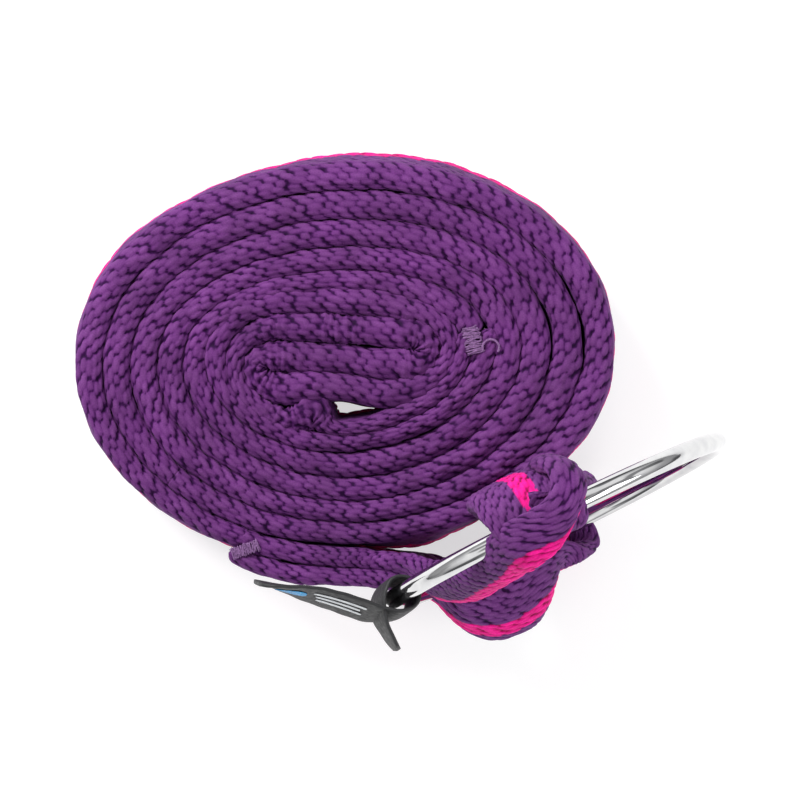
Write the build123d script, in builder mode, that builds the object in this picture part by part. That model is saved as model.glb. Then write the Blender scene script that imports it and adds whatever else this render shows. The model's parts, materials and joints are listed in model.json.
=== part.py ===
"""Stretching strap: a soft tubular knitted strap with a sewn foot loop at one end and a
sewn ring loop at the other, rolled up flat on its edges, with the ring loop hitched round
a polished steel ring that carries a small rubber tag.

Units are millimetres.  The origin is on the floor under the middle of the roll, +Z is up
and +X runs along the long axis of the oval roll.
"""
from build123d import *
from math import cos, sin, radians, pi
import os

os.makedirs("parts", exist_ok=True)

# ---------------------------------------------------------------- driving dimensions
strap_width = 32.0          # the strap stands on edge, so this is the roll's height
strap_thickness = 6.0       # one layer, pressed against its neighbours
loop_layer = 4.6            # one layer of the foot loop, pressed flat

roll_length_radius = 71.2   # half length of the oval centreline at its outer end
roll_depth_radius = 51.7    # half depth there
length_pitch = 7.5          # what one turn takes off the half length
depth_pitch = 6.6           # and off the half depth
roll_drift = (-0.5, -0.3)   # how far the oval's middle wanders in each turn
roll_middle = (1.3, -1.05)  # middle of the outermost turn
roll_tilt = 3.5             # degrees, how far the oval is turned from the X axis
outer_end_angle = 242.0     # degrees, where the outer end of the strap lies
roll_turns = 4.59           # turns from the outer end to the foot loop's stitching

ring_radius = 47.5          # to the middle of the wire: 100 mm overall
wire_radius = 2.5
ring_turn = 26.1            # degrees, the ring's plane seen from above
ring_lean = 5.5             # degrees, its top leans towards the roll
ring_lift = 7.2             # the strap passes under the ring's lowest point
ring_xy = (54.1, -43.5)

hitch_length = 24.0         # along the wire
hitch_shift = -2.5          # where the hitch sits, from the middle of the ring's top
hitch_clearance = 0.8       # between wire and webbing, so that the ring can turn
hitch_layer = 5.6           # one layer of webbing in the hitch
band_slot = 3.6             # half the gap that the ring has inside the hitch's band

tag_width = 20.0
tag_thickness = 2.4
tag_reach = 34.0            # from the wire to the tag's free end
tag_bore = 3.9              # the tag's fold round the wire
tag_place = 163.0           # degrees round the ring from its right side


# ---------------------------------------------------------------- the roll
def oval_point(turn):
    """Middle of the strap, so many turns in from its outer end."""
    angle = radians(outer_end_angle - 360 * turn)
    across = (roll_length_radius - length_pitch * turn) * cos(angle)
    along = (roll_depth_radius - depth_pitch * turn) * sin(angle)
    tilt = radians(roll_tilt)
    return Vector(
        roll_middle[0] + roll_drift[0] * turn + across * cos(tilt) - along * sin(tilt),
        roll_middle[1] + roll_drift[1] * turn + across * sin(tilt) + along * cos(tilt),
    )


def side_points(middles, thickness, side):
    """Points half a thickness to one side of a row of points."""
    shifted = []
    for i, point in enumerate(middles):
        ahead = middles[min(i + 1, len(middles) - 1)]
        behind = middles[max(i - 1, 0)]
        run = (ahead - behind).normalized()
        shifted.append(point + Vector(-run.Y, run.X) * (side * thickness / 2))
    return shifted


def standing_strap(middles, thickness, height):
    """A strap that stands on edge along a row of points."""
    left = side_points(middles, thickness, 1)
    right = side_points(middles, thickness, -1)
    with BuildPart() as strap:
        with BuildSketch():
            with BuildLine():
                Spline(*left)
                Line(left[-1], right[-1])
                Spline(*right)
                Line(right[0], left[0])
            make_face()
        extrude(amount=height)
    return strap.part


points_per_turn = 24
roll_points = [
    oval_point(i / points_per_turn) for i in range(round(roll_turns * points_per_turn) + 1)
]
with BuildPart() as strap_roll:
    add(standing_strap(roll_points, strap_thickness, strap_width))
strap_roll.part.label = "strap_roll"
export_step(strap_roll.part, "parts/strap_roll.step")

# ---------------------------------------------------------------- the foot loop
# The loop leaves its stitching as an outer layer, follows the roll round, turns back on
# itself inside the core, doubles back at its tip and returns as the inner layer.
outer_layer = [
    (36.0, 4.4), (36.2, -1.5), (33.6, -8.0), (27.8, -14.2), (18.0, -18.9), (2.0, -21.9),
    (-14.0, -20.4), (-25.0, -14.8), (-31.0, -6.0), (-31.0, 2.6), (-24.5, 9.0), (-10.0, 13.1),
    (6.0, 13.8), (18.4, 10.8), (24.5, 5.0), (24.4, -3.0), (17.6, -7.6), (4.0, -9.6),
    (-9.0, -9.0),
]
loop_tip = [(-16.2, -7.7), (-20.4, -5.2), (-20.4, -1.6), (-16.4, 0.2)]
inner_layer = [
    (-10.0, 0.4), (0.0, -1.2), (9.0, -2.6), (15.2, -1.8), (17.4, 1.8), (14.4, 5.4),
    (4.0, 6.6), (-8.0, 6.9), (-18.0, 5.9), (-24.8, 2.4), (-26.0, -4.2), (-22.4, -10.4),
    (-13.0, -14.8), (1.0, -16.7), (14.0, -15.0), (23.6, -10.6), (29.4, -5.0), (31.0, -0.6),
    (31.0, 4.2),
]
with BuildLine() as loop_path:
    Spline(*outer_layer, *loop_tip, *inner_layer)
loop_samples = 120
loop_points = [loop_path.line @ (i / loop_samples) for i in range(loop_samples + 1)]
with BuildPart() as foot_loop:
    add(standing_strap(loop_points, loop_layer, strap_width))
foot_loop.part.label = "foot_loop"
export_step(foot_loop.part, "parts/foot_loop.step")

# Bar of stitching through the strap's end and both layers of the foot loop
def stitch_bar(x, y, direction, length, width):
    """A low bar of thread that shows on the strap's upper edge."""
    bar_height = 0.8
    with BuildPart() as bar:
        with BuildSketch(Plane((x, y, strap_width), x_dir=direction, z_dir=(0, 0, 1))):
            RectangleRounded(length, width, 0.45 * width)
        extrude(amount=bar_height)
    return bar.part


with BuildPart() as foot_loop_bartack:
    add(stitch_bar(32.2, 1.6, (-0.1, 1, 0), 5.2, 3.4))
foot_loop_bartack.part.label = "foot_loop_bartack"
export_step(foot_loop_bartack.part, "parts/foot_loop_bartack.step")

# Loose end of the stitching thread, curled up beside the bar
with BuildPart() as thread_tail:
    with BuildLine() as thread_path:
        CenterArc((38.2, 2.2), 2.2, 200, -230)
    with BuildSketch(Plane(thread_path.line @ 0, z_dir=thread_path.line % 0)):
        Circle(0.3)
    sweep()
thread_tail.part.label = "thread_tail"
thread_tail.part.locate(Location((0, 0, strap_width + 0.35)))
export_step(thread_tail.part, "parts/thread_tail.step")

# ---------------------------------------------------------------- the ring
# The ring stands on edge.  Its own axes run along its plane, out of it towards the roll,
# and up it.
ring_along = Vector(cos(radians(ring_turn)), sin(radians(ring_turn)), 0)
level_out = Vector(-ring_along.Y, ring_along.X, 0)
ring_up = Vector(0, 0, 1) * cos(radians(ring_lean)) + level_out * sin(radians(ring_lean))
ring_out = ring_up.cross(ring_along)
ring_middle = Vector(
    ring_xy[0],
    ring_xy[1],
    ring_lift + wire_radius + ring_radius * cos(radians(ring_lean)),
)


def at_ring(along, out, up):
    """A point given along the ring's plane, out of it and up it."""
    return ring_middle + ring_along * along + ring_out * out + ring_up * up


with BuildPart() as ring:
    with BuildSketch(Plane(at_ring(ring_radius, 0, 0), x_dir=ring_along, z_dir=ring_up)):
        Circle(wire_radius)
    revolve(axis=Axis(ring_middle, ring_out))
ring.part.label = "ring"
export_step(ring.part, "parts/ring.step")

# ---------------------------------------------------------------- the hitch
hitch_left = hitch_shift - hitch_length / 2
hitch_right = hitch_shift + hitch_length / 2
wrap_outer = wire_radius + hitch_clearance + hitch_layer

# Webbing wrapped round the top of the wire
wrap_arc = hitch_length / ring_radius * 180 / pi
wrap_from = radians(90) - hitch_right / ring_radius
wrap_radial = ring_along * cos(wrap_from) + ring_up * sin(wrap_from)
wrap_section = Plane(
    ring_middle + wrap_radial * ring_radius,
    x_dir=wrap_radial,
    z_dir=ring_out.cross(wrap_radial),
)
with BuildPart() as hitch_wrap:
    with BuildSketch(wrap_section):
        Circle(wrap_outer)
        Circle(wire_radius + hitch_clearance, mode=Mode.SUBTRACT)
    revolve(axis=Axis(ring_middle, -ring_out), revolution_arc=wrap_arc)
hitch_wrap.part.label = "hitch_wrap"
export_step(hitch_wrap.part, "parts/hitch_wrap.step")

# Band that comes down from the wrap behind the ring and passes under its lowest point
band_outer = band_slot + hitch_layer
band_front_top = -34.0
band_plane = Plane(at_ring(hitch_left, 0, 0), x_dir=ring_out, z_dir=ring_along)
with BuildPart() as hitch_band:
    with BuildSketch(band_plane):
        with Locations((0, -ring_radius)):
            Circle(band_outer)
        with Locations((band_slot + hitch_layer / 2, 0)):
            Rectangle(hitch_layer, 2 * ring_radius)
        with Locations((-band_slot - hitch_layer / 2, (band_front_top - ring_radius) / 2)):
            Rectangle(hitch_layer, ring_radius + band_front_top)
        with Locations((0, -ring_radius)):
            Circle(band_slot, mode=Mode.SUBTRACT)
        with Locations((0, 0)):
            Rectangle(2 * band_slot, 2 * ring_radius, mode=Mode.SUBTRACT)
        with Locations((0, ring_radius)):
            Circle(wrap_outer + 2.0, mode=Mode.SUBTRACT)
    extrude(amount=hitch_length)
hitch_band.part.label = "hitch_band"
export_step(hitch_band.part, "parts/hitch_band.step")

# Upper strand: from the ring loop up the front of the ring to the wrap
front_gap = 3.9
upper_plane = Plane(at_ring(0, -front_gap, 0), x_dir=ring_along, z_dir=-ring_out)
with BuildPart() as hitch_upper_strand:
    with BuildSketch(upper_plane):
        with BuildLine():
            Line((-22.5, -12), (-22.5, 14))
            Spline((-22.5, 14), (-19, 26), (hitch_left, 35))
            Line((hitch_left, 35), (hitch_right, 35))
            Line((hitch_right, 35), (hitch_right, 22))
            Spline((hitch_right, 22), (2, 4), (-10, -6), (-22.5, -12))
        make_face()
    extrude(amount=hitch_layer)
hitch_upper_strand.part.label = "hitch_upper_strand"
export_step(hitch_upper_strand.part, "parts/hitch_upper_strand.step")

# Lower strand: from the ring loop in a wide bow down to the end of the band
bow = [(-29.0, -16.0), (-21.0, -21.5), (-9.0, -24.0), (2.0, -21.2), (9.0, -16.8)]
bow_height = 34.0
bow_floor = 12.0
with BuildLine() as bow_line:
    Spline(*bow)
bow_samples = 16
bow_points = []
for i in range(bow_samples + 1):
    spot = bow_line.line @ (i / bow_samples)
    place = ring_middle + ring_along * spot.X + level_out * spot.Y
    bow_points.append(Vector(place.X, place.Y))
with BuildPart() as hitch_lower_strand:
    add(standing_strap(bow_points, hitch_layer, bow_height).moved(Location((0, 0, bow_floor))))
hitch_lower_strand.part.label = "hitch_lower_strand"
export_step(hitch_lower_strand.part, "parts/hitch_lower_strand.step")

# ---------------------------------------------------------------- the ring loop
# Two layers together, which lie along the roll and climb through the ring: each row gives
# the place of their middle, the heading in degrees, the thickness and the height.
ring_loop_rows = [
    (-27.5, -52.7, 16.0, -19, 10.4, 32.0),
    (-16.0, -55.7, 16.0, -9, 10.8, 32.0),
    (-4.0, -56.8, 20.0, -3, 10.6, 32.0),
    (6.0, -56.6, 33.0, 0, 9.2, 27.0),
    (15.0, -56.3, 47.5, -5, 7.6, 20.0),
    (24.0, -59.3, 55.0, -22, 7.6, 20.0),
    (32.0, -63.2, 57.0, -24, 7.6, 20.0),
]
with BuildPart() as ring_loop:
    for x, y, z, heading, thickness, height in ring_loop_rows:
        run = Vector(cos(radians(heading)), sin(radians(heading)))
        with BuildSketch(Plane((x, y, z), x_dir=(-run.Y, run.X, 0), z_dir=run)):
            Rectangle(thickness, height)
    loft(ruled=True)
ring_loop.part.label = "ring_loop"
export_step(ring_loop.part, "parts/ring_loop.step")

with BuildPart() as ring_loop_bartack:
    add(stitch_bar(-26.2, -52.0, (0.95, 0.25, 0), 8.0, 2.6))
ring_loop_bartack.part.label = "ring_loop_bartack"
export_step(ring_loop_bartack.part, "parts/ring_loop_bartack.step")

# ---------------------------------------------------------------- the tag
# A strip of rubber folded round the wire at the ring's side, with its short end out
tag_wall = tag_bore + tag_thickness
tag_radial = ring_along * cos(radians(tag_place)) + ring_up * sin(radians(tag_place))
tag_up = ring_out.cross(tag_radial)
tag_axis = ring_middle + tag_radial * (ring_radius - 0.5)
tag_heading = 171.0         # degrees, from the wire to the free end
flap_heading = -66.0
flap_reach = 11.0


def leaning(degrees):
    """The level direction with this heading, made square to the tag's axis."""
    heading = Vector(cos(radians(degrees)), sin(radians(degrees)))
    return (heading - tag_up * heading.dot(tag_up)).normalized()


tag_run = leaning(tag_heading)
flap_run = leaning(flap_heading)


def tag_slab(run, start, reach, thickness, width, offset, drop):
    """A flat slab on edge that runs away from the tag's axis."""
    side = tag_up.cross(run)
    middle = tag_axis + run * (start + reach) / 2 + side * offset + tag_up * drop
    with BuildPart() as slab:
        with BuildSketch(Plane(middle, x_dir=run, z_dir=side)):
            RectangleRounded(reach - start, width, min(2.5, width * 0.4))
        extrude(amount=thickness / 2, both=True)
    return slab.part


with BuildPart() as tag_band:
    with BuildSketch(Plane(tag_axis - tag_up * tag_width / 2, x_dir=tag_run, z_dir=tag_up)):
        Circle(tag_wall)
    extrude(amount=tag_width)
    add(tag_slab(tag_run, tag_bore, tag_reach, tag_thickness, tag_width, 3.0, 0))
    add(tag_slab(flap_run, tag_bore, flap_reach, tag_thickness, tag_width, 0, 0))
    with BuildSketch(Plane(tag_axis - tag_up * tag_width, x_dir=tag_run, z_dir=tag_up)):
        Circle(tag_bore)
    extrude(amount=2 * tag_width, mode=Mode.SUBTRACT)
tag_band.part.label = "tag_band"
export_step(tag_band.part, "parts/tag_band.step")

inlay_depth = 0.4
inlay_face = 3.0 + (tag_thickness + inlay_depth) / 2
with BuildPart() as tag_badge:
    add(tag_slab(tag_run, 22.0, 30.0, inlay_depth, 8.0, inlay_face, 2.0))
tag_badge.part.label = "tag_badge"
export_step(tag_badge.part, "parts/tag_badge.step")

with BuildPart() as tag_stripes:
    for drop in (-2.0, 1.5, 5.0):
        add(tag_slab(tag_run, 10.0, 20.0, inlay_depth, 1.6, inlay_face, drop))
tag_stripes.part.label = "tag_stripes"
export_step(tag_stripes.part, "parts/tag_stripes.step")
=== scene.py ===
"""Stretching strap: rolled knitted webbing, hitched to a polished ring with a rubber tag."""
import json
import math

import bpy
import numpy as np
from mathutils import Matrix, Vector


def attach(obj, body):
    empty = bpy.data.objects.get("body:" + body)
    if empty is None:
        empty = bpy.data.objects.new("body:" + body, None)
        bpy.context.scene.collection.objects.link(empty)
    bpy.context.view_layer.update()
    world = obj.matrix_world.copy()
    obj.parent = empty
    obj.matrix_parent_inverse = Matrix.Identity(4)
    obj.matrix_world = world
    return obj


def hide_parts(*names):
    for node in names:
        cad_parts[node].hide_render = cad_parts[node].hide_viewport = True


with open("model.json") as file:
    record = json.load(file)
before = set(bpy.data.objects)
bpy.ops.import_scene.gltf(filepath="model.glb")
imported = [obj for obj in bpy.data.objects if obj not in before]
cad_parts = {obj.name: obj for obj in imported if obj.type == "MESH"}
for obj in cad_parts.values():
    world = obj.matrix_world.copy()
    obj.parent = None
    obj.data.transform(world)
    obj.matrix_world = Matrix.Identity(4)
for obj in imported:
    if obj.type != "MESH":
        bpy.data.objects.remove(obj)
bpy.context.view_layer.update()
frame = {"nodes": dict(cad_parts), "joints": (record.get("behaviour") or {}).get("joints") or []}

MM = 0.001
rng = np.random.default_rng(7)

# ------------------------------------------------------------------ the strap's make
STRAP_WIDTH = 32.0
STRAP_MIDDLE = STRAP_WIDTH / 2
ROWS = 52                   # stitch rows round the flat tube
HALF_ROWS = ROWS // 2
CAP_ROWS = 3.4              # rows from the middle of an edge to the flat side
CAP_HEIGHT = 2.8            # how far the rounded edge reaches past the flat side
PINK_ROWS = 2.5             # rows either side of the middle of a flat side
ROW_PITCH = 1.408           # distance between rows across a flat side
STITCH = 4.1                # length of one stitch along the strap
EDGE_ROWS = 5.0             # rows either side of the middle of an edge that are spaced as an edge
ROUND_END = 2.6             # how far from its end a length of strap starts to round off
FLATTEST = 0.02             # share of the thickness left at a rounded end
KNIT_RELIEF = 0.7           # height of the stitches
STATION_STEP = 0.5          # distance between stations along the strap, and in the hitch
HITCH_STEP = 0.42

# Kinds of stitch: pitch in stitches, tilt, half length in stitches and half width in rows.
STITCH_KINDS = {
    "plain": (1, 0.15, 0.535, 0.93),
    "oval": (2, 0.10, 0.66, 1.05),
    "knob": (2, 0.12, 0.39, 0.92),
}


def unit(v):
    v = np.asarray(v, float)
    return v / np.linalg.norm(v, axis=-1, keepdims=True)


def natural_spline(knots, values, at):
    """Natural cubic spline through the rows of values, read at the places in at."""
    n = len(knots)
    gap = np.diff(knots)
    system = np.eye(n)
    right = np.zeros_like(values)
    for i in range(1, n - 1):
        system[i, i - 1] = gap[i - 1]
        system[i, i] = 2 * (gap[i - 1] + gap[i])
        system[i, i + 1] = gap[i]
        slope_after = (values[i + 1] - values[i]) / gap[i]
        slope_before = (values[i] - values[i - 1]) / gap[i - 1]
        right[i] = 6 * (slope_after - slope_before)
    bend = np.linalg.solve(system, right)
    k = np.clip(np.searchsorted(knots, at) - 1, 0, n - 2)
    h = gap[k][:, None]
    a = (knots[k + 1] - at)[:, None] / h
    b = (at - knots[k])[:, None] / h
    return (a * values[k] + b * values[k + 1]
            + ((a ** 3 - a) * bend[k] + (b ** 3 - b) * bend[k + 1]) * h * h / 6)


def distance_along(line):
    """Distance from the first point of a line to each of its points."""
    return np.concatenate([[0], np.cumsum(np.linalg.norm(np.diff(line, axis=0), axis=1))])


def smooth_rows(rows, step):
    """A smooth curve through rows whose first three values are a point, evenly spaced by step."""
    rows = np.array(rows, float)
    knots = distance_along(rows[:, :3])
    fine = natural_spline(knots, rows, np.linspace(0, knots[-1], 40 * len(rows)))
    run = distance_along(fine[:, :3])
    count = max(4, int(round(run[-1] / step)) + 1)
    even = np.linspace(0, run[-1], count)
    return np.stack([np.interp(even, run, column) for column in fine.T], axis=1), even


def chance(a, b, salt):
    """A repeatable random value from 0 to 1 for each pair of whole numbers."""
    x = np.sin(a * 127.1 + b * 311.7 + salt * 74.7) * 43758.5453
    return x - np.floor(x)


def knit(rows, along, stitch, seed):
    """Height from 0 to 1 of the knit, and the row that each place belongs to."""
    height = np.zeros_like(rows)
    owner = np.round(rows)
    base = np.round(rows)
    for row_step in (-1, 0, 1):
        row = base + row_step
        ring_row = np.mod(row, ROWS)
        edge = np.mod(ring_row, HALF_ROWS) == 0
        shifts = {"plain": 0.5 * ring_row + 0.16 * np.sin(ring_row * 1.7), "oval": 0.0, "knob": 0.5}
        for kind, (span, lean, half_length, half_width) in STITCH_KINDS.items():
            pitch = span * stitch
            place = along / pitch - shifts[kind]
            for cell_step in (0, 1):
                cell = np.floor(place) + cell_step
                r1 = chance(ring_row, cell, seed)
                r2 = chance(ring_row, cell, seed + 1)
                r3 = chance(ring_row, cell, seed + 2)
                du = (place - cell) * pitch + (r1 - 0.5) * 0.22 * stitch
                dw = (rows - row) * ROW_PITCH + (r2 - 0.5) * 0.24
                tilt = lean + (r3 - 0.5) * 0.22
                long_half = half_length * stitch * (0.92 + 0.16 * r2)
                cross_half = half_width * (0.92 + 0.16 * r1)
                a = (du * np.cos(tilt) + dw * np.sin(tilt)) / long_half
                b = (dw * np.cos(tilt) - du * np.sin(tilt)) / cross_half
                dome = np.sqrt(np.clip(1 - np.abs(a) ** 2.8 - b * b, 0, 1)) * (0.78 + 0.3 * r3)
                dome = np.where(edge == (kind != "plain"), dome, 0)
                higher = dome > height
                height = np.where(higher, dome, height)
                owner = np.where(higher, ring_row, owner)
    return height, owner


def rows_spacing(edge_step, front_step, back_step, bottom_step):
    """Places round the strap, in rows from the middle of its upper edge."""
    spans = [
        (0, EDGE_ROWS, edge_step), (EDGE_ROWS, HALF_ROWS - EDGE_ROWS, front_step),
        (HALF_ROWS - EDGE_ROWS, HALF_ROWS + EDGE_ROWS, bottom_step),
        (HALF_ROWS + EDGE_ROWS, ROWS - EDGE_ROWS, back_step), (ROWS - EDGE_ROWS, ROWS, edge_step),
    ]
    places = []
    for start, end, step in spans:
        count = max(2, int(math.ceil((end - start) / step)))
        places.extend(start + (end - start) * i / count for i in range(count))
    return np.array(places)


def section(places, width, thick):
    """The flat tube's outline, a row for each station: across, out, and its outward direction."""
    w, t = width[:, None], thick[:, None]
    r = np.mod(places, ROWS)[None, :]
    side = np.where(r <= HALF_ROWS, 1.0, -1.0)
    m = np.where(r <= HALF_ROWS, r, ROWS - r)
    turn = np.clip(m / CAP_ROWS, 0, 1) * (math.pi / 2)
    low_turn = np.clip((HALF_ROWS - m) / CAP_ROWS, 0, 1) * (math.pi / 2)
    cap = np.minimum(CAP_HEIGHT, w * 0.2)
    flat = np.clip((m - CAP_ROWS) / (HALF_ROWS - 2 * CAP_ROWS), 0, 1)
    across = (w / 2 - cap) * (1 - 2 * flat) + cap * (np.cos(turn) - np.cos(low_turn))
    swell = 1 + 0.12 * np.sin(math.pi * flat)
    out = side * t / 2 * np.minimum(np.sin(turn), np.sin(low_turn)) * swell
    lift_across = np.cos(turn) - np.cos(low_turn)
    lift_out = side * np.minimum(np.sin(turn), np.sin(low_turn)) + 0 * w
    size = np.hypot(lift_across, lift_out)
    return across, out, lift_across / size, lift_out / size


def add_mesh(name, verts, quads, attributes=()):
    mesh = bpy.data.meshes.new(name)
    mesh.from_pydata([tuple(v) for v in verts], [], quads)
    for label, values in attributes:
        layer = mesh.attributes.new(label, "FLOAT", "POINT")
        layer.data.foreach_set("value", np.asarray(values, np.float32))
    mesh.shade_smooth()
    obj = bpy.data.objects.new(name, mesh)
    bpy.context.scene.collection.objects.link(obj)
    return obj


def tube_quads(stations, around, first=0):
    quads = []
    for i in range(stations - 1):
        a = first + i * around
        for j in range(around):
            k = (j + 1) % around
            quads.append((a + j, a + k, a + around + k, a + around + j))
    return quads


def closed_mesh(name, grids, attributes=()):
    """One mesh from grids of points, each a tube closed at both ends."""
    verts, quads = [], []
    first = 0
    for points in grids:
        stations, around = points.shape[:2]
        verts.append(points.reshape(-1, 3) * MM)
        quads.extend(tube_quads(stations, around, first))
        for end, order in ((0, 1), (stations - 1, -1)):
            rim = [first + end * around + j for j in range(around)]
            quads.append(tuple(rim[::-order]))
        first += stations * around
    return add_mesh(name, np.concatenate(verts), quads, attributes)


def rounding(distance):
    """Share of its full thickness that the strap has, so far from a rounded end."""
    reach = np.clip(distance / ROUND_END, 0, 1)
    return np.sqrt(reach * (2 - reach))


def webbing(path, across, width, thick, curl, hold, press, places, relief, stitch=STITCH, seed=1,
            bulge=None, round_ends=(True, True), flat_relief=1.0, start=0.0, crumple=None):
    """Points, stitch heights that paint shade into the knit's crevices, pink share and distance along a length
    of webbing.

    path is the line that the strap follows, across its width direction there. curl bends the
    width into an arc, in radians, hold says how far from the middle the line runs, and press
    flattens the arc."""
    run = distance_along(path) + start
    tangent = unit(np.gradient(path, axis=0))
    across = unit(across - tangent * np.sum(across * tangent, axis=1, keepdims=True))
    normal = np.cross(tangent, across)
    v, n, lift_v, lift_n = section(places, width, thick)
    grid_rows = np.broadcast_to(places[None, :], v.shape)
    grid_run = np.broadcast_to(run[:, None], v.shape)
    height, owner = knit(grid_rows, grid_run, stitch, seed)
    from_edge = np.mod(grid_rows, HALF_ROWS)
    near_edge = np.minimum(from_edge, HALF_ROWS - from_edge)
    share = flat_relief + (1 - flat_relief) * np.clip(1.5 - near_edge / 3.6, 0, 1)
    raised = (height - 0.60) * relief * share
    # Painted shade: the stitch height kept for the colour darkens the knit in the crevices between stitches and
    # lightens the tops.
    crevice_shade = 0.78 + (height - 0.78) * np.sqrt(share)
    slow = (np.sin(grid_run * 0.23 + seed) * np.sin(grid_rows * 0.33 + seed * 2.1)
            + 0.7 * np.sin(grid_run * 0.51 + 1.7 * seed + grid_rows * 0.2))
    raised = raised + 0.16 * slow
    if crumple is not None:
        fold = np.sin(grid_run * 3.1 + 1.6 * np.sin(grid_rows * 0.9) + 1.1 * np.sin(grid_run * 0.9))
        raised = raised + 0.42 * fold * crumple[:, None]
        # Painted shade: the hollows of the crumple's creases are darkened in the colour.
        crevice_shade = crevice_shade - 0.30 * np.clip(-fold, 0, 1) * crumple[:, None]
    fade = np.ones_like(run)
    if round_ends[0]:
        fade = fade * rounding(run - run[0])
    if round_ends[1]:
        fade = fade * rounding(run[-1] - run)
    fade = np.maximum(fade, FLATTEST)[:, None]
    n = (n + raised * lift_n) * fade
    v = v + raised * lift_v
    if bulge is not None:
        depth = np.clip(0.5 - v / width[:, None], 0, 1)
        n = n + bulge[:, None] * (1 - np.abs(2 * depth - 1) ** 0.8)
    bend = (curl / width)[:, None]
    bend = np.where(np.abs(bend) < 1e-5, 1e-5, bend)
    angle = (v - hold[:, None]) * bend
    side = np.sin(angle) / bend + n * np.sin(angle)
    up = ((np.cos(angle) - 1) / bend + n * np.cos(angle)) * press[:, None]
    points = (path[:, None, :] + across[:, None, :] * side[:, :, None]
              + normal[:, None, :] * up[:, :, None])
    middle = np.abs(np.mod(owner, HALF_ROWS) - HALF_ROWS / 2)
    dye = (middle <= PINK_ROWS).astype(float)
    return points, crevice_shade, dye, run


def webbing_object(name, parts):
    """One mesh from several lengths of webbing, with the stitch height that paints shade into its crevices and
    the pink share of each place.
    """
    crevice_shade = np.concatenate([part[1].ravel() for part in parts])
    dye = np.concatenate([part[2].ravel() for part in parts])
    return closed_mesh(name, [part[0] for part in parts], (("crevice_shade", crevice_shade), ("dye", dye)))


def length_of(part):
    run = part[3]
    return float(run[-1] - run[0])


# ------------------------------------------------------------------ materials
def new_material(name):
    mat = bpy.data.materials.new(name)
    mat.use_nodes = True
    nodes, links = mat.node_tree.nodes, mat.node_tree.links
    shader = nodes["Principled BSDF"]
    return mat, nodes, links, shader


def ramp(nodes, stops):
    node = nodes.new("ShaderNodeValToRGB")
    while len(node.color_ramp.elements) < len(stops):
        node.color_ramp.elements.new(0.5)
    for element, (place, colour) in zip(node.color_ramp.elements, stops):
        element.position = place
        element.color = (*colour, 1)
    return node


def knit_material():
    mat, nodes, links, shader = new_material("knit")
    crevice_shade = nodes.new("ShaderNodeAttribute")
    crevice_shade.attribute_name = "crevice_shade"
    dye = nodes.new("ShaderNodeAttribute")
    dye.attribute_name = "dye"
    # Painted shade: the dark end of each ramp is shade painted into the crevices between stitches, and the
    # light end is the lit tops.
    purple = ramp(nodes, [(0.0, (0.016, 0.0, 0.028)), (0.40, (0.040, 0.003, 0.062)),
                          (0.66, (0.112, 0.024, 0.145)), (1.0, (0.150, 0.040, 0.186))])
    pink = ramp(nodes, [(0.0, (0.16, 0.0, 0.035)), (0.35, (0.36, 0.0, 0.09)),
                        (0.62, (0.66, 0.003, 0.19)), (1.0, (0.86, 0.012, 0.29))])
    links.new(crevice_shade.outputs["Fac"], purple.inputs["Fac"])
    links.new(crevice_shade.outputs["Fac"], pink.inputs["Fac"])
    both = nodes.new("ShaderNodeMix")
    both.data_type = "RGBA"
    links.new(dye.outputs["Fac"], both.inputs["Factor"])
    links.new(purple.outputs["Color"], both.inputs["A"])
    links.new(pink.outputs["Color"], both.inputs["B"])
    coords = nodes.new("ShaderNodeTexCoord")
    fibre = nodes.new("ShaderNodeTexNoise")
    fibre.inputs["Scale"].default_value = 2600
    fibre.inputs["Detail"].default_value = 2
    links.new(coords.outputs["Object"], fibre.inputs["Vector"])
    patch = nodes.new("ShaderNodeTexNoise")
    patch.inputs["Scale"].default_value = 90
    links.new(coords.outputs["Object"], patch.inputs["Vector"])
    tone = ramp(nodes, [(0.3, (0.80,) * 3), (0.7, (1.12,) * 3)])
    links.new(patch.outputs["Fac"], tone.inputs["Fac"])
    grain = ramp(nodes, [(0.3, (0.84,) * 3), (0.7, (1.14,) * 3)])
    links.new(fibre.outputs["Fac"], grain.inputs["Fac"])
    last = both.outputs["Result"]
    for node in (tone, grain):
        times = nodes.new("ShaderNodeMix")
        times.data_type = "RGBA"
        times.blend_type = "MULTIPLY"
        times.inputs["Factor"].default_value = 1
        links.new(last, times.inputs["A"])
        links.new(node.outputs["Color"], times.inputs["B"])
        last = times.outputs["Result"]
    links.new(last, shader.inputs["Base Color"])
    shader.inputs["Roughness"].default_value = 0.72
    shader.inputs["Specular IOR Level"].default_value = 0.12
    shader.inputs["Sheen Weight"].default_value = 0.03
    shader.inputs["Sheen Roughness"].default_value = 0.4
    bump = nodes.new("ShaderNodeBump")
    bump.inputs["Strength"].default_value = 0.35
    bump.inputs["Distance"].default_value = 0.0003
    links.new(fibre.outputs["Fac"], bump.inputs["Height"])
    links.new(bump.outputs["Normal"], shader.inputs["Normal"])
    return mat


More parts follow.
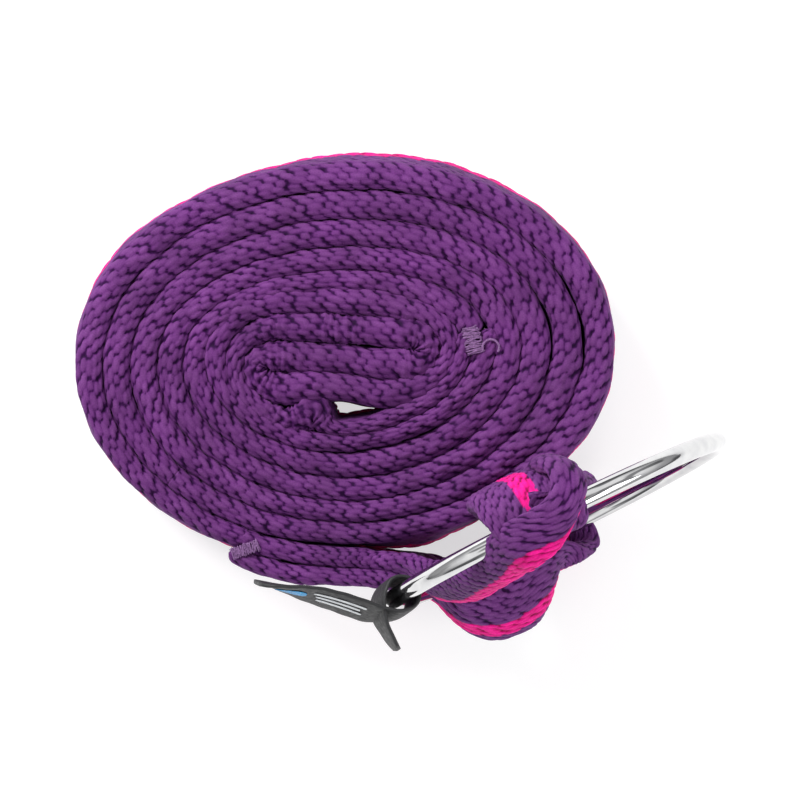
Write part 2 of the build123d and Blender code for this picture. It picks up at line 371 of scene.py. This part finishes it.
def noisy_material(name, dark, light, scale, roughness, metallic, bump_height):
    """Fine noise between two colours, with the roughness and the surface following it."""
    mat, nodes, links, shader = new_material(name)
    coords = nodes.new("ShaderNodeTexCoord")
    noise = nodes.new("ShaderNodeTexNoise")
    noise.inputs["Scale"].default_value = scale
    noise.inputs["Detail"].default_value = 4
    links.new(coords.outputs["Object"], noise.inputs["Vector"])
    colours = ramp(nodes, [(0.35, dark), (0.65, light)])
    links.new(noise.outputs["Fac"], colours.inputs["Fac"])
    links.new(colours.outputs["Color"], shader.inputs["Base Color"])
    rough = ramp(nodes, [(0.3, (roughness * 0.8,) * 3), (0.7, (roughness * 1.25,) * 3)])
    links.new(noise.outputs["Fac"], rough.inputs["Fac"])
    links.new(rough.outputs["Color"], shader.inputs["Roughness"])
    shader.inputs["Metallic"].default_value = metallic
    bump = nodes.new("ShaderNodeBump")
    bump.inputs["Strength"].default_value = 0.5
    bump.inputs["Distance"].default_value = bump_height
    links.new(noise.outputs["Fac"], bump.inputs["Height"])
    links.new(bump.outputs["Normal"], shader.inputs["Normal"])
    return mat


knit_look = knit_material()
steel_look = noisy_material("polished_steel", (0.60, 0.60, 0.61), (0.68,) * 3, 300, 0.06, 1.0, 0.004 * MM)
rubber_look = noisy_material("rubber", (0.008, 0.008, 0.009), (0.016, 0.016, 0.018), 900, 0.62, 0.0, 0.05 * MM)
thread_look = noisy_material("thread", (0.11, 0.04, 0.14), (0.25, 0.12, 0.29), 1800, 0.7, 0.0, 0.2 * MM)
blue_look = noisy_material("tag_blue", (0.0, 0.16, 0.42), (0.0, 0.27, 0.56), 700, 0.5, 0.0, 0.03 * MM)
pale_look = noisy_material("tag_pale", (0.50, 0.52, 0.55), (0.68, 0.70, 0.72), 700, 0.45, 0.0, 0.03 * MM)

# ------------------------------------------------------------------ camera
camera_data = bpy.data.cameras.new("camera")
camera_data.sensor_width = 36.0
camera_data.lens = 164.0
camera_data.clip_start = 0.05
camera_data.clip_end = 20
camera = bpy.data.objects.new("camera", camera_data)
camera.location = (14.1 * MM, -11.7 * MM, 1.0)
bpy.context.scene.collection.objects.link(camera)
bpy.context.scene.camera = camera

# ------------------------------------------------------------------ the roll
# Distances of the strap's middle from the roll's own middle where it passes each side.
SIDE_REACH = (68.7, 67.2, 61.6, 58.8, 54.3, 50.2, 47.3, 42.8, 40.6, 34.4)
DEPTH_REACH = (53.0, 47.8, 47.0, 40.4, 41.4, 32.9, 35.5, 26.0, 29.0, 20.2, 17.0)
REACH_STEP = 0.5            # turns between two of those distances
FIRST_SIDE, FIRST_DEPTH = 0.172, -0.078     # turns from the outer end to the first of each
ROLL_TURNS = 4.645
OUTER_END = 242.0           # direction of the outer end from the roll's middle, in degrees
TILT = math.radians(3.5)
OUTER_START, OUTER_TURNS = -0.008, 1.06     # the outer layer, whose flat side is bare


def roll_point(turn):
    """Middle of the strap in plan, so many turns in from its outer end."""
    turn = np.asarray(turn, float)
    side_knots = FIRST_SIDE + REACH_STEP * np.arange(len(SIDE_REACH))
    depth_knots = FIRST_DEPTH + REACH_STEP * np.arange(len(DEPTH_REACH))
    a = natural_spline(side_knots, np.array(SIDE_REACH)[:, None], turn.ravel())[:, 0]
    b = natural_spline(depth_knots, np.array(DEPTH_REACH)[:, None], turn.ravel())[:, 0]
    angle = np.radians(OUTER_END - 360 * turn.ravel())
    x, y = a * np.cos(angle), b * np.sin(angle)
    cos, sin = math.cos(TILT), math.sin(TILT)
    return np.stack([x * cos - y * sin, x * sin + y * cos], axis=1)


def roll_thickness(turn):
    """How much room one layer has between its neighbours."""
    here = roll_point(turn)
    inner = np.linalg.norm(here - roll_point(turn + 1), axis=1)
    outer = np.linalg.norm(here - roll_point(turn - 1), axis=1)
    between = np.where(turn > ROLL_TURNS - 1, outer, 0.5 * (inner + outer))
    return np.where(turn < 1, inner, between)


def hump(turn, middle, spread):
    return np.exp(-((turn - middle) / spread) ** 2)


def roll_length(first, last, places, start, flat_relief, round_ends):
    """Webbing from one turn to another, and its length."""
    turns = np.linspace(first, last, 4000)
    run = distance_along(roll_point(turns))
    count = int(round(run[-1] / STATION_STEP)) + 1
    even = np.linspace(0, run[-1], count)
    turn = np.interp(even, run, turns)
    plan = roll_point(turn)
    thick = np.clip(roll_thickness(turn), 5.0, 9.2) - 0.05
    gap = 1.1 * hump(turn, 1.64, 0.05) + 1.1 * hump(turn, 0.66, 0.04)
    thick = thick - gap - 1.2 * np.clip((turn - ROLL_TURNS + 0.08) / 0.08, 0, 1)
    wave = 0.25 * np.sin(turn * 19.0) + 0.2 * np.sin(turn * 43.0 + 1.0)
    path = np.column_stack([plan, np.full(count, STRAP_MIDDLE) + 0.5 * wave - 0.1])
    width = STRAP_WIDTH - 0.5 + 0 * turn
    zero = np.zeros(count)
    bulge = None
    if first == OUTER_START:
        bulge = (0.8 + 2.6 * hump(turn, 0.47, 0.10) + 1.2 * hump(turn, 0.27, 0.05)
                 + 2.4 * hump(turn, 0.885, 0.03))
        bulge = -bulge * np.clip((1.0 - turn) / 0.08, 0, 1)
    across = np.tile([0.0, 0.0, 1.0], (count, 1))
    part = webbing(path, across, width, thick, zero, zero, zero + 1, places, relief=KNIT_RELIEF, seed=3,
                   bulge=bulge, flat_relief=flat_relief, start=start, round_ends=round_ends)
    return part, run[-1]


outer_places = rows_spacing(0.27, 0.42, 0.42, 0.45)
inner_places = rows_spacing(0.27, 1.0, 1.0, 0.45)
outer_part, outer_run = roll_length(OUTER_START, OUTER_TURNS, outer_places, 0.0, 0.6, (True, False))
inner_part, inner_run = roll_length(OUTER_TURNS, ROLL_TURNS, inner_places, outer_run, 0.4, (False, True))
roll = webbing_object("rolled_strap", [outer_part, inner_part])

# ------------------------------------------------------------------ the foot loop
# Middle of the strap in plan, thickness, how far its side bellies out, and how crumpled it is.
FOOT_LOOP = [
    (38.4, 7.0, 6.0, 0, 0.6), (36.6, 0.8, 6.4, 0, 0), (34.2, -5.0, 6.2, 0, 0), (30.2, -10.8, 5.6, 0, 0),
    (24.6, -15.2, 5.1, 0, 0), (17.8, -18.7, 4.9, 0, 0), (9.0, -21.7, 4.8, 0, 0), (-1.0, -23.0, 5.0, 0, 0),
    (-10.3, -22.4, 5.4, 0, 0), (-19.4, -19.4, 5.6, 0, 0), (-27.2, -14.7, 5.8, 0, 0), (-32.8, -8.0, 6.0, 0, 0),
    (-35.0, -1.2, 6.2, 0, 0), (-33.9, 5.2, 6.4, 0, 0), (-30.0, 10.3, 6.8, 0, 0), (-23.8, 13.8, 7.2, 0, 0),
    (-14.8, 15.1, 7.3, 0, 0), (-4.2, 14.9, 7.3, 0, 0), (6.4, 14.3, 7.3, 0, 0), (15.6, 12.9, 7.0, 0, 0),
    (22.8, 9.9, 6.4, 0, 0), (26.7, 5.7, 5.8, 0, 0), (27.2, 0.8, 5.6, 0, 0), (25.0, -4.0, 6.2, 0, 0),
    (20.5, -7.6, 7.2, 0, 0), (14.1, -9.6, 7.8, 0, 0), (6.1, -9.4, 7.4, 0, 0), (-1.9, -8.2, 7.0, 0, 0),
    (-9.9, -8.2, 8.2, 0, 0), (-16.5, -8.5, 8.6, 0, 0.3), (-21.8, -7.4, 7.4, 0, 0.8), (-24.4, -4.8, 6.2, 0, 1),
    (-24.2, -1.6, 6.2, 0, 1), (-20.6, 0.0, 7.6, 0, 0.8), (-12.5, -0.4, 8.0, 0, 0.2), (-1.9, -0.7, 7.8, 0, 0),
    (8.8, -2.0, 8.2, 0, 0), (15.0, -2.2, 8.9, 0, 0.3), (20.0, -1.2, 7.4, 0, 0.8), (21.6, 2.2, 6.4, 0, 1),
    (19.8, 5.2, 7.4, 0, 0.8), (15.6, 6.2, 8.7, 0, 0.4), (8.8, 6.7, 7.9, 0, 0), (-1.9, 7.4, 7.8, 0, 0.7),
    (-12.5, 7.8, 7.6, 0, 0), (-20.8, 7.4, 6.8, 0, 0.6), (-26.8, 4.6, 6.0, 0, 0.2), (-29.8, -0.8, 5.8, 0, 0),
    (-29.0, -7.0, 5.8, 0, 0), (-25.0, -12.4, 5.8, 0, 0), (-19.4, -15.9, 5.8, 0, 0.5), (-14.6, -16.8, 6.4, 0, 1),
    (-11.2, -15.6, 8.4, 0, 1), (-8.4, -15.2, 9.0, -0.5, 1), (-6.4, -17.0, 6.2, -1.2, 0.7),
    (-3.4, -19.2, 4.0, -2.2, 0), (0.8, -19.6, 4.0, -2.4, 0), (5.4, -18.8, 4.4, -2.2, 0),
    (11.6, -16.6, 4.9, -1.0, 0), (18.2, -13.5, 5.1, 0, 0), (24.6, -9.4, 5.2, 0, 0),
    (28.8, -4.2, 5.2, 0, 0), (30.6, 1.4, 5.2, 0, 0.3), (30.4, 6.4, 4.8, 0, 0.8),
]
foot_rows = [(x, y, STRAP_MIDDLE, thick, belly, crease) for x, y, thick, belly, crease in FOOT_LOOP]
foot_line, foot_run = smooth_rows(foot_rows, STATION_STEP)
foot_count = len(foot_line)
foot_part = webbing(
    foot_line[:, :3] + np.outer(0.25 * np.sin(foot_run * 0.09), [0, 0, 1]),
    np.tile([0.0, 0.0, 1.0], (foot_count, 1)), np.full(foot_count, STRAP_WIDTH - 0.6), foot_line[:, 3],
    np.zeros(foot_count), np.zeros(foot_count), np.ones(foot_count), inner_places,
    relief=KNIT_RELIEF, seed=9, flat_relief=0.4, bulge=foot_line[:, 4],
    crumple=np.clip(foot_line[:, 5], 0, 1),
)
foot_loop = webbing_object("foot_loop_webbing", [foot_part])

# ------------------------------------------------------------------ the ring's own axes
ring_joint = next(j for j in frame["joints"] if j["name"] == "ring_turn")
ring_middle = np.array(ring_joint["pos_m"]) / MM
ring_out = unit(ring_joint["axis"])
ring_along = unit(np.cross([0, 0, 1.0], -ring_out))
if ring_along[0] < 0:
    ring_along = -ring_along
ring_up = np.cross(ring_along, ring_out)
if ring_up[2] < 0:
    ring_up = -ring_up


def at_ring(along, out, up):
    """A point given from the ring's middle: level in the ring's plane, square to it, and upwards in it."""
    return ring_middle + ring_along * along + ring_out * out + ring_up * up


ALONG, LEVEL = tuple(ring_along), (-ring_along[1], ring_along[0], 0.0)
UP, DOWN = (0.0, 0.0, 1.0), (0.0, 0.0, -1.0)


def mixed(*pairs):
    """A direction made of several, each with its share."""
    total = sum(np.array(v) * w for v, w in pairs)
    return tuple(unit(total))


def ribbon(rows, places, relief, stitch, seed):
    """Webbing along stations: point, width direction, width, thickness, curl, hold and press."""
    table = [(*point, *across, width, thick, math.radians(curl), hold, rest[0] if rest else 1.0)
             for point, across, width, thick, curl, hold, *rest in rows]
    line, _ = smooth_rows(table, HITCH_STEP)
    return webbing(line[:, :3], line[:, 3:6], *line[:, 6:].T, places, relief=relief, stitch=stitch, seed=seed)


LEFT = mixed((LEVEL, 0.85), (ALONG, -0.5))      # to the left of the upper strand's run
BACK, BACK_AND_UP = mixed((ALONG, -1)), mixed((ALONG, -1), (UP, 0.1))
hitch_rows = [
    # inner leg, standing on edge beside the roll
    ((-28.5, -48.3, 16.0), UP, 31.5, 5.6, 0, 0),
    ((-22.0, -50.6, 16.0), UP, 31.5, 5.4, 0, 0),
    ((-14.0, -52.3, 16.0), UP, 31.5, 5.2, 0, 0),
    ((-5.0, -53.3, 16.0), UP, 31.5, 5.2, 0, 0),
    ((4.5, -54.2, 17.2), UP, 31.0, 5.3, 0, 0),
    ((14.0, -56.6, 22.0), mixed((UP, 1), (ALONG, -0.25), (LEVEL, 0.12)), 29.0, 5.6, 30, 2),
    # climbs on the outer side of the ring, curled almost to a tube
    ((21.6, -59.8, 36.0), mixed((UP, 0.8), (LEVEL, 0.6), (ALONG, -0.3)), 27.0, 4.8, 110, 4),
    ((27.6, -60.6, 56.0), mixed((UP, 0.4), (LEVEL, 0.9), (ALONG, -0.45)), 25.0, 4.2, 240, 4.4),
    ((32.8, -57.4, 80.0), LEFT, 25.0, 3.9, 290, 4.2),
    ((39.4, -51.8, 102.5), LEFT, 24.0, 4.1, 292, 3.6, 0.8),
    # pressed flat where it lies on the wire
    ((44.4, -46.9, 112.5), LEFT, 23.5, 4.8, 290, 3.6, 0.65),
    ((48.9, -40.9, 115.6), mixed((LEVEL, 0.75), (ALONG, -0.75)), 23.0, 4.8, 290, 7.4, 0.62),
    ((51.5, -35.8, 116.6), mixed((LEVEL, 0.6), (ALONG, -0.9)), 23.0, 4.6, 290, 9.8, 0.68),
    # folds over the wire and goes down behind the ring
    ((52.2, -31.0, 114.5), mixed((LEVEL, 0.35), (ALONG, -1)), 23.0, 4.4, 285, 10.0, 0.85),
    (at_ring(2.0, 12.2, 47), BACK, 23.0, 4.2, 260, 9.0),
    (at_ring(1.4, 10.4, 32), BACK, 22.0, 4.6, 170, 6),
    (at_ring(1.4, 7.6, 10), BACK, 21.5, 5.2, 40, 1),
    (at_ring(1.2, 6.6, -14), BACK, 22.0, 5.2, 0, 0),
    (at_ring(1.6, 6.4, -32), BACK, 20.0, 5.2, 0, 0),
    (at_ring(1.6, 5.4, -46.5), BACK, 18.0, 5.0, 0, 0),
    # under the ring's lowest point
    (at_ring(1.6, 0.0, -53.2), BACK, 18.0, 4.8, 0, 0),
    (at_ring(1.2, -6.0, -52.8), mixed((ALONG, -1), (UP, -0.3)), 19.0, 4.8, 0, 0),
    ((54.6, -56.2, 13.5), mixed((ALONG, -0.7), (UP, -1)), 22.0, 5.0, 15, 0),
    # and back to the left in a standing bow
    ((53.2, -60.8, 19.5), mixed((UP, -1), (ALONG, -0.3), (LEVEL, -0.35)), 26.0, 5.3, 40, 0),
    ((50.2, -65.2, 24.0), mixed((UP, -1), (LEVEL, -0.50)), 29.0, 5.5, 60, 0),
    ((45.2, -69.0, 26.0), mixed((UP, -1), (LEVEL, -0.54)), 29.5, 5.6, 70, 0),
    ((38.0, -70.8, 26.5), mixed((UP, -1), (LEVEL, -0.55)), 30.0, 5.6, 75, 0),
    ((32.4, -69.6, 26.0), mixed((UP, -1), (LEVEL, -0.50)), 30.0, 5.6, 70, 0),
    ((28.2, -66.0, 24.4), mixed((UP, -1), (LEVEL, -0.30)), 30.0, 5.4, 45, 0),
    ((22.4, -62.0, 21.0), mixed((UP, -1), (LEVEL, -0.04)), 30.5, 5.2, 12, 0),
    ((13.0, -59.8, 17.6), DOWN, 31.0, 5.0, 0, 0),
    ((4.0, -58.9, 16.2), DOWN, 31.5, 5.0, 0, 0),
    ((-6.0, -58.4, 16.0), DOWN, 31.5, 5.0, 0, 0),
    ((-17.0, -57.4, 16.0), DOWN, 31.5, 4.9, 0, 0),
    ((-25.0, -55.0, 16.0), DOWN, 31.5, 4.8, 0, 0),
    ((-31.5, -52.3, 16.0), DOWN, 31.0, 4.4, 0, 0),
]
fine_places = rows_spacing(0.27, 0.27, 0.4, 0.27)
hitch_part = ribbon(hitch_rows, fine_places, 0.55, 4.3, 21)
hitch = webbing_object("ring_loop_webbing", [hitch_part])

# The strand that comes up behind the ring, goes over the wire and tucks in under the other.
wrap_rows = [
    (at_ring(-7.0, 4.6, -34), BACK_AND_UP, 15.0, 4.4, 0, 0),
    (at_ring(-7.6, 6.4, -26), BACK_AND_UP, 15.5, 4.6, 5, 0),
    (at_ring(-8.6, 10.0, -12), BACK_AND_UP, 16.5, 4.6, 10, 0),
    (at_ring(-9.0, 11.8, 4), BACK_AND_UP, 18.0, 4.8, 10, 0),
    (at_ring(-8.2, 11.6, 24), BACK_AND_UP, 21.0, 5.0, 5, 0),
    (at_ring(-5.8, 10.4, 40), BACK, 24.0, 5.2, 0, 0),
    (at_ring(-4.2, 6.6, 49.8), BACK, 25.0, 4.8, 0, 0),
    (at_ring(-3.8, 1.0, 52.6), BACK, 24.0, 4.0, 0, 0),
    (at_ring(-3.8, -3.4, 50.8), BACK, 22.0, 3.4, 0, 0),
    (at_ring(-3.8, -4.9, 46.5), BACK, 20.0, 2.8, 0, 0),
]
wrap_part = ribbon(wrap_rows, fine_places, 0.5, 3.8, 35)
wrap = webbing_object("hitch_wrap_webbing", [wrap_part])

# ------------------------------------------------------------------ rides and looks
for piece, length, nodes_replaced in (
    (roll, outer_run + inner_run, ("strap_roll",)),
    (foot_loop, length_of(foot_part), ("foot_loop",)),
    (hitch, length_of(hitch_part), ("ring_loop", "hitch_band", "hitch_upper_strand", "hitch_lower_strand")),
    (wrap, length_of(wrap_part), ("hitch_wrap",)),
):
    piece.data.materials.append(knit_look)
    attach(piece, "strap")
    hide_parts(*nodes_replaced)


# ------------------------------------------------------------------ stitching and tag
def plain_ribbon(line, across, width, thick, around=28, power=4.0):
    """A thin ribbon with slightly rounded edges: its points, and its across and outward directions."""
    tangent = unit(np.gradient(line, axis=0))
    across = unit(across - tangent * np.sum(across * tangent, axis=1, keepdims=True))
    normal = np.cross(tangent, across)
    angle = np.linspace(0, 2 * math.pi, around, endpoint=False)
    c, d = np.cos(angle), np.sin(angle)
    v = np.sign(c) * np.abs(c) ** (2 / power)
    n = np.sign(d) * np.abs(d) ** (2 / power)
    points = (line[:, None, :] + across[:, None, :] * (width[:, None] / 2 * v)[:, :, None]
              + normal[:, None, :] * (thick / 2 * n)[None, :, None])
    return points, across, normal


def thread(points, radius, around=8):
    """A round thread through the points."""
    line, run = smooth_rows([tuple(p) for p in points], radius * 1.6)
    tangent = unit(np.gradient(line, axis=0))
    side = unit(np.cross(tangent, [0.31, 0.17, 0.93]))
    other = np.cross(tangent, side)
    angle = np.linspace(0, 2 * math.pi, around, endpoint=False)
    twist = 1 + 0.15 * np.sin(run[:, None] * 9 + 2 * angle[None, :])
    return (line[:, None, :] + side[:, None, :] * (radius * twist * np.cos(angle))[:, :, None]
            + other[:, None, :] * (radius * twist * np.sin(angle))[:, :, None])


def stitch_patch(name, middle, direction, length, width):
    """Dense back-and-forth stitching on the upper edge of the strap."""
    rows, radius = 26, 0.2
    direction = unit(direction)
    side = np.array([-direction[1], direction[0]])
    points = []
    for i in range(rows + 1):
        u = (i / rows - 0.5) * length
        reach = width / 2 * (0.82 + 0.3 * rng.random())
        sign = 1 if i % 2 else -1
        for part in (-1.0, 0.0, 1.0):
            w = sign * part * reach
            along = u + 0.12 * part
            x = middle[0] + direction[0] * along + side[0] * w + 0.1 * rng.standard_normal()
            y = middle[1] + direction[1] * along + side[1] * w + 0.1 * rng.standard_normal()
            points.append((x, y, middle[2] - 0.09 * w * w + 0.18 * rng.random()))
    return closed_mesh(name, [thread(points, radius)])


foot_bartack = stitch_patch("foot_loop_stitching", (33.4, 4.2, 32.15), (-0.25, 1), 6.8, 4.4)
ring_bartack = stitch_patch("ring_loop_stitching", (-27.0, -51.4, 32.1), (0.95, 0.33), 7.4, 2.8)

# The tag's own axes: along the wire, from the wire to its free end, and square to both.
tag_joint = next(j for j in frame["joints"] if j["name"] == "tag_swing")
tag_middle = np.array(tag_joint["pos_m"]) / MM
tag_up = unit(tag_joint["axis"])
tag_heading = math.radians(173.5)
tag_run = np.array([math.cos(tag_heading), math.sin(tag_heading), 0.0])
tag_run = unit(tag_run - tag_up * np.dot(tag_run, tag_up))
tag_side = np.cross(tag_up, tag_run)
TAG_THICK = 1.3
# Reach from the wire, offset to the side, shift along the wire, width, and share turned upright.
tag_rows = [
    (36.0, 1.6, 0.0, 13.0, 0.95), (34.5, 1.6, 0.0, 17.0, 0.9), (30.0, 1.8, 0.0, 18.6, 0.6),
    (24.0, 2.2, 0.0, 19.0, 0.1), (17.0, 3.0, 0.0, 19.2, -0.15), (10.0, 4.2, 0.0, 19.4, -0.2),
    (5.0, 5.0, 0.0, 19.0, -0.15), (1.0, 4.8, 0.0, 18.0, 0.0), (-2.8, 3.4, 0.0, 17.0, 0.0),
    (-4.4, 0.2, 0.0, 16.5, 0.0), (-3.2, -2.9, 0.0, 16.5, 0.0), (0.0, -4.3, 0.0, 16.5, 0.0),
    (3.2, -3.0, 0.0, 16.5, 0.0), (4.5, 0.0, 0.0, 17.0, 0.0), (4.4, 3.6, 0.0, 17.5, 0.1),
    (3.0, 7.0, -0.5, 17.5, 0.3), (0.8, 10.0, -1.0, 16.5, 0.45), (-1.2, 12.2, -1.5, 13.0, 0.5),
    (-2.0, 13.0, -1.6, 9.0, 0.5),
]
tag_table = []
for reach, offset, shift, width, upright in tag_rows:
    place = tag_middle + tag_run * reach + tag_side * offset + tag_up * shift
    tag_table.append((*place, *unit(tag_up * (1 - upright) + np.array(UP) * upright), width))
tag_line, tag_distance = smooth_rows(tag_table, 0.35)
tag_points, tag_across, tag_normal = plain_ribbon(tag_line[:, :3], tag_line[:, 3:6], tag_line[:, 6], TAG_THICK)
outer_face = 1.0 if np.dot(tag_normal[20], tag_side) > 0 else -1.0
ripple = 0.05 * np.sin(tag_distance * 1.1)[:, None, None]
tag = closed_mesh("tag_strip", [tag_points + ripple * tag_normal[:, None, :]])


def tag_pad(first, last, low, high, height, squareness):
    """A thin pad on the outer face of the tag, between two distances from its free end."""
    middle, half_length, half_width = (first + last) / 2, (last - first) / 2, (high - low) / 2
    angle = np.linspace(0, 2 * math.pi, 16, endpoint=False)
    rings = []
    for distance in np.linspace(first, last, 30):
        k = int(np.clip(np.searchsorted(tag_distance, distance), 1, len(tag_distance) - 1))
        taper = 1 - abs((distance - middle) / half_length) ** squareness
        half = half_width * max(0.06, taper) ** (1 / squareness)
        lift = outer_face * (TAG_THICK / 2 + height / 2)
        centre = tag_line[k, :3] + tag_across[k] * (low + high) / 2 + tag_normal[k] * lift
        rings.append(centre + tag_across[k] * (half * np.cos(angle))[:, None]
                     + tag_normal[k] * (height / 2 * np.sin(angle))[:, None])
    return np.array(rings)


badge = closed_mesh("tag_badge_pad", [tag_pad(4.5, 12.5, -2.5, 5.0, 0.35, 2.4)])
bars = closed_mesh("tag_bars", [
    tag_pad(14.0 + 0.8 * i, 28.0 - 1.2 * (i % 2), 4.0 - 3.2 * i, 5.6 - 3.2 * i, 0.3, 8.0) for i in range(3)])

for piece, look, body, replaced, slot_name in (
    (foot_bartack, thread_look, "strap", "foot_loop_bartack", "stitching"),
    (ring_bartack, thread_look, "strap", "ring_loop_bartack", "stitching"),
    (tag, rubber_look, "tag", "tag_band", "rubber"),
    (badge, blue_look, "tag", "tag_badge", "tag_print_blue"),
    (bars, pale_look, "tag", "tag_stripes", "tag_print_pale"),
):
    piece.data.materials.append(look)
    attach(piece, body)
    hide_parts(replaced)

for node, look in (("ring", steel_look), ("thread_tail", thread_look)):
    mesh = frame["nodes"][node].data
    mesh.materials.clear()
    mesh.materials.append(look)
    mesh.shade_smooth()

# ------------------------------------------------------------------ floor, light
FLOOR_REACH, FLOOR_HEIGHT = 3, -0.0004
floor = add_mesh("floor", [(x * FLOOR_REACH, y * FLOOR_REACH, FLOOR_HEIGHT)
                           for x, y in ((-1, -1), (1, -1), (1, 1), (-1, 1))], [(0, 1, 2, 3)])
floor_look, _, _, floor_shader = new_material("floor")
floor_shader.inputs["Base Color"].default_value = (0.45, 0.45, 0.45, 1)
floor_shader.inputs["Roughness"].default_value = 0.9
floor_shader.inputs["Emission Color"].default_value = (1, 1, 1, 1)
floor_shader.inputs["Emission Strength"].default_value = 0.62
floor.data.materials.append(floor_look)


def area_light(name, place, size, power):
    """A rectangular light aimed at the middle of the floor."""
    data = bpy.data.lights.new(name, "AREA")
    data.shape = "RECTANGLE"
    data.size, data.size_y = size
    data.energy = power
    lamp = bpy.data.objects.new(name, data)
    lamp.location = place
    lamp.rotation_euler = (-Vector(place)).to_track_quat("-Z", "Y").to_euler()
    bpy.context.scene.collection.objects.link(lamp)


area_light("key", (-0.8, 0.9, 0.8), (0.6, 0.6), 24)
area_light("fill", (1.0, -0.5, 0.9), (0.9, 0.6), 10)

# A bright sky with a dark zenith and soft patches, for the ring to reflect.
world = bpy.data.worlds.new("world")
world.use_nodes = True
sky, sky_links = world.node_tree.nodes, world.node_tree.links
sky_coords = sky.new("ShaderNodeTexCoord")
sky_split = sky.new("ShaderNodeSeparateXYZ")
sky_tone = ramp(sky, [(0.0, (0.42, 0.42, 0.43)), (0.22, (0.55, 0.55, 0.56)), (0.50, (1.35, 1.35, 1.35)),
                      (0.82, (1.25, 1.25, 1.25)), (0.93, (0.16, 0.16, 0.17)), (0.985, (0.02, 0.02, 0.025))])
sky_clouds = sky.new("ShaderNodeTexNoise")
sky_clouds.inputs["Scale"].default_value = 2.3
sky_clouds.inputs["Detail"].default_value = 0
sky_patches = ramp(sky, [(0.42, (0.12, 0.12, 0.13)), (0.50, (1.0, 1.0, 1.0))])
sky_mix = sky.new("ShaderNodeMix")
sky_mix.data_type = "RGBA"
sky_mix.blend_type = "MULTIPLY"
sky_mix.inputs["Factor"].default_value = 0.8
backdrop = sky["Background"]
for source, target in (
    (sky_coords.outputs["Generated"], sky_clouds.inputs["Vector"]),
    (sky_clouds.outputs["Fac"], sky_patches.inputs["Fac"]),
    (sky_tone.outputs["Color"], sky_mix.inputs["A"]),
    (sky_patches.outputs["Color"], sky_mix.inputs["B"]),
    (sky_coords.outputs["Generated"], sky_split.inputs["Vector"]),
    (sky_split.outputs["Z"], sky_tone.inputs["Fac"]),
    (sky_mix.outputs["Result"], backdrop.inputs["Color"]),
):
    sky_links.new(source, target)
backdrop.inputs["Strength"].default_value = 0.85
bpy.context.scene.world = world
bpy.context.scene.view_settings.view_transform = "Standard"
